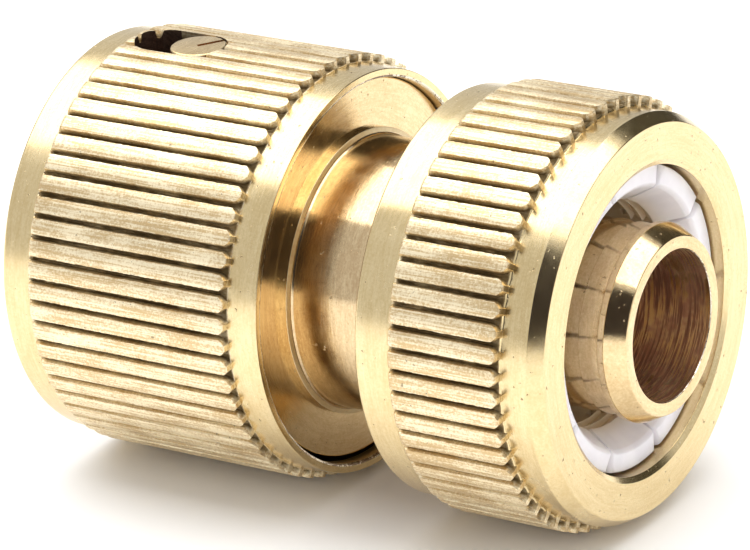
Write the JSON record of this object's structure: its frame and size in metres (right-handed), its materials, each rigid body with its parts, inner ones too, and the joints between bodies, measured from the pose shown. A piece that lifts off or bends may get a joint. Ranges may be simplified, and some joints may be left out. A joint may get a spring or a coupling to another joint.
{
  "type": "hose quick connector",
  "caption": "Hose quick connector: ribbed spring release sleeve over a round socket with latch claws, necked body, ribbed clamp nut and barbed hose tail.",
  "frame": {"origin": "centre of the socket mouth face, on the water axis", "axes": "+X along the water axis towards the hose end, +Z through the upper latch claw, Y across the claws"},
  "size_m": [0.0495, 0.0328, 0.0328],
  "materials": {
    "body_metal": "satin, fine turned",
    "claw_metal": "satin",
    "hidden_steel": "bright drawn",
    "collet_plastic": "moulded satin",
    "washer_rubber": "matte"
  },
  "bodies": {
    "body": {"socket_body": "body_metal", "tail_body": "body_metal", "socket_washer": "washer_rubber", "release_spring": "hidden_steel"},
    "sleeve": {"release_sleeve": "body_metal"},
    "upper_latch": {"upper_claw": "claw_metal", "upper_claw_pin": "hidden_steel"},
    "lower_latch": {"lower_claw": "claw_metal", "lower_claw_pin": "hidden_steel"},
    "collet": {"hose_collet": "collet_plastic"},
    "nut": {"clamp_nut": "body_metal"}
  },
  "joints": [
    {"name": "sleeve_slide", "type": "slide", "parent": "body", "child": "sleeve", "axis": [1, 0, 0], "range_m": [0, 0.0032], "stiffness_N_per_m": 800, "springref_m": -0.004, "deforming": ["release_spring"]},
    {"name": "upper_claw_slide", "type": "slide", "parent": "body", "child": "upper_latch", "axis": [0, 0, 1], "range_m": [0, 0.0019]},
    {"name": "lower_claw_slide", "type": "slide", "parent": "body", "child": "lower_latch", "axis": [0, 0, -1], "range_m": [0, 0.0019]},
    {"name": "nut_advance", "type": "slide", "parent": "body", "child": "collet", "axis": [1, 0, 0], "range_m": [0, 0.0044]},
    {"name": "nut_turn", "type": "hinge", "parent": "collet", "child": "nut", "pos_m": [0.0396, 0, 0], "axis": [1, 0, 0], "range_deg": [0, 792]}
  ],
  "couplings": [
    {"joint": "upper_claw_slide", "follows": "sleeve_slide", "ratio": 0.59375},
    {"joint": "lower_claw_slide", "follows": "sleeve_slide", "ratio": 0.59375},
    {"joint": "nut_turn", "follows": "nut_advance", "rad_per_m": 3141.6}
  ]
}
